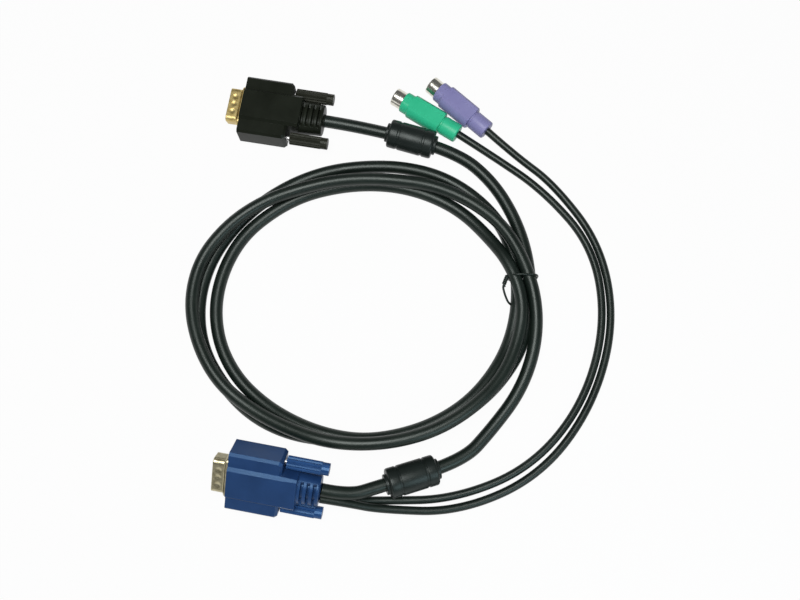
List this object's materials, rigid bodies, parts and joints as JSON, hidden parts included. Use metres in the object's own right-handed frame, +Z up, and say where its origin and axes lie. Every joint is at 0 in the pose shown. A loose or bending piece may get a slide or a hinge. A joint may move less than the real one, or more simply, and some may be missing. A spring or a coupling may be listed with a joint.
{
  "type": "kvm cable",
  "caption": "Coiled KVM lead with a wide screw-in plug at each end, ferrite sleeves and a wire tie, and thin cables that branch from the blue plug to a green and a violet round plug.",
  "frame": {"origin": "on the table, below the middle of the box round the plugs, ferrites and tie", "axes": "+Z up from the table, +Y toward the end with the black and the round plugs, +X toward the side where the thin cables bend round"},
  "size_m": [0.2171, 0.2287, 0.0284],
  "materials": {
    "black_plastic": "satin moulded PVC",
    "blue_plastic": "satin moulded PVC",
    "green_plastic": "satin moulded PVC",
    "violet_plastic": "satin moulded PVC",
    "gold_plate": "gold flash over steel",
    "nickel_plate": "warm nickel plate",
    "steel": "plain",
    "gold_contact": "gold flash",
    "insulator_plastic": "matt",
    "ferrite": "matt ceramic"
  },
  "bodies": {
    "lead": {"black_hood": "black_plastic", "black_shell": "gold_plate", "black_rear_shell": "gold_plate", "black_insulator": "insulator_plastic", "black_contacts": "gold_contact", "black_ferrite_cover": "black_plastic", "black_ferrite_core": "ferrite", "blue_hood": "blue_plastic", "blue_shell": "nickel_plate", "blue_rear_shell": "nickel_plate", "blue_insulator": "insulator_plastic", "blue_contacts": "gold_contact", "blue_ferrite_cover": "black_plastic", "blue_ferrite_core": "ferrite", "green_plug_body": "green_plastic", "green_plug_shell": "nickel_plate", "green_plug_insulator": "insulator_plastic", "green_plug_contacts": "gold_contact", "green_cable": "black_plastic", "violet_plug_body": "violet_plastic", "violet_plug_shell": "nickel_plate", "violet_plug_insulator": "insulator_plastic", "violet_plug_contacts": "gold_contact", "violet_cable": "black_plastic", "main_cable_black_end": "black_plastic", "main_cable_blue_end": "black_plastic", "main_cable_coil": "black_plastic", "coil_tie": "black_plastic"},
    "black_screw_a": {"black_knob_a": "black_plastic", "black_stud_a": "steel"},
    "black_screw_b": {"black_knob_b": "black_plastic", "black_stud_b": "steel"},
    "blue_screw_a": {"blue_knob_a": "blue_plastic", "blue_stud_a": "steel"},
    "blue_screw_b": {"blue_knob_b": "blue_plastic", "blue_stud_b": "steel"}
  },
  "joints": [
    {"name": "black_screw_a_turn", "type": "hinge", "parent": "lead", "child": "black_screw_a", "pos_m": [-0.0392, 0.10201, 0.0085], "axis": [0.9869, -0.1616, 0], "continuous": true},
    {"name": "black_screw_b_turn", "type": "hinge", "parent": "lead", "child": "black_screw_b", "pos_m": [-0.04324, 0.07735, 0.0085], "axis": [0.9869, -0.1616, 0], "continuous": true},
    {"name": "blue_screw_a_turn", "type": "hinge", "parent": "lead", "child": "blue_screw_a", "pos_m": [-0.03723, -0.0898, 0.02156], "axis": [0.9833, -0.1822, 0], "continuous": true},
    {"name": "blue_screw_b_turn", "type": "hinge", "parent": "lead", "child": "blue_screw_b", "pos_m": [-0.04092, -0.10968, 0.00687], "axis": [0.9833, -0.1822, 0], "continuous": true}
  ]
}
